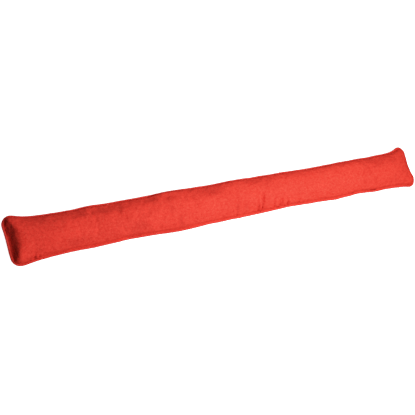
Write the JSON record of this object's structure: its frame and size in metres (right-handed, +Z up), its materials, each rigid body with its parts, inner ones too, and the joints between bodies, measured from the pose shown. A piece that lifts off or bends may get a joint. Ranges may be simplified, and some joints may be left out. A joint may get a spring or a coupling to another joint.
{
  "type": "draught excluder",
  "caption": "Long stuffed cushion with a corded piping round its seam, laid against the foot of a door to stop draughts.",
  "frame": {"origin": "centre of the underside, on the surface that the cushion lies on", "axes": "+X along the cushion's length, +Y across it towards the far long side, +Z up out of the top panel"},
  "size_m": [0.9026, 0.0978, 0.0472],
  "materials": {
    "suedette": "matt brushed microfibre suedette, red, short soft nap",
    "piping_suedette": "the same red suedette, cut on the bias and wrapped tightly round a cord"
  },
  "bodies": {
    "root": {"filled_case": "suedette", "piping": "piping_suedette"}
  },
  "joints": []
}
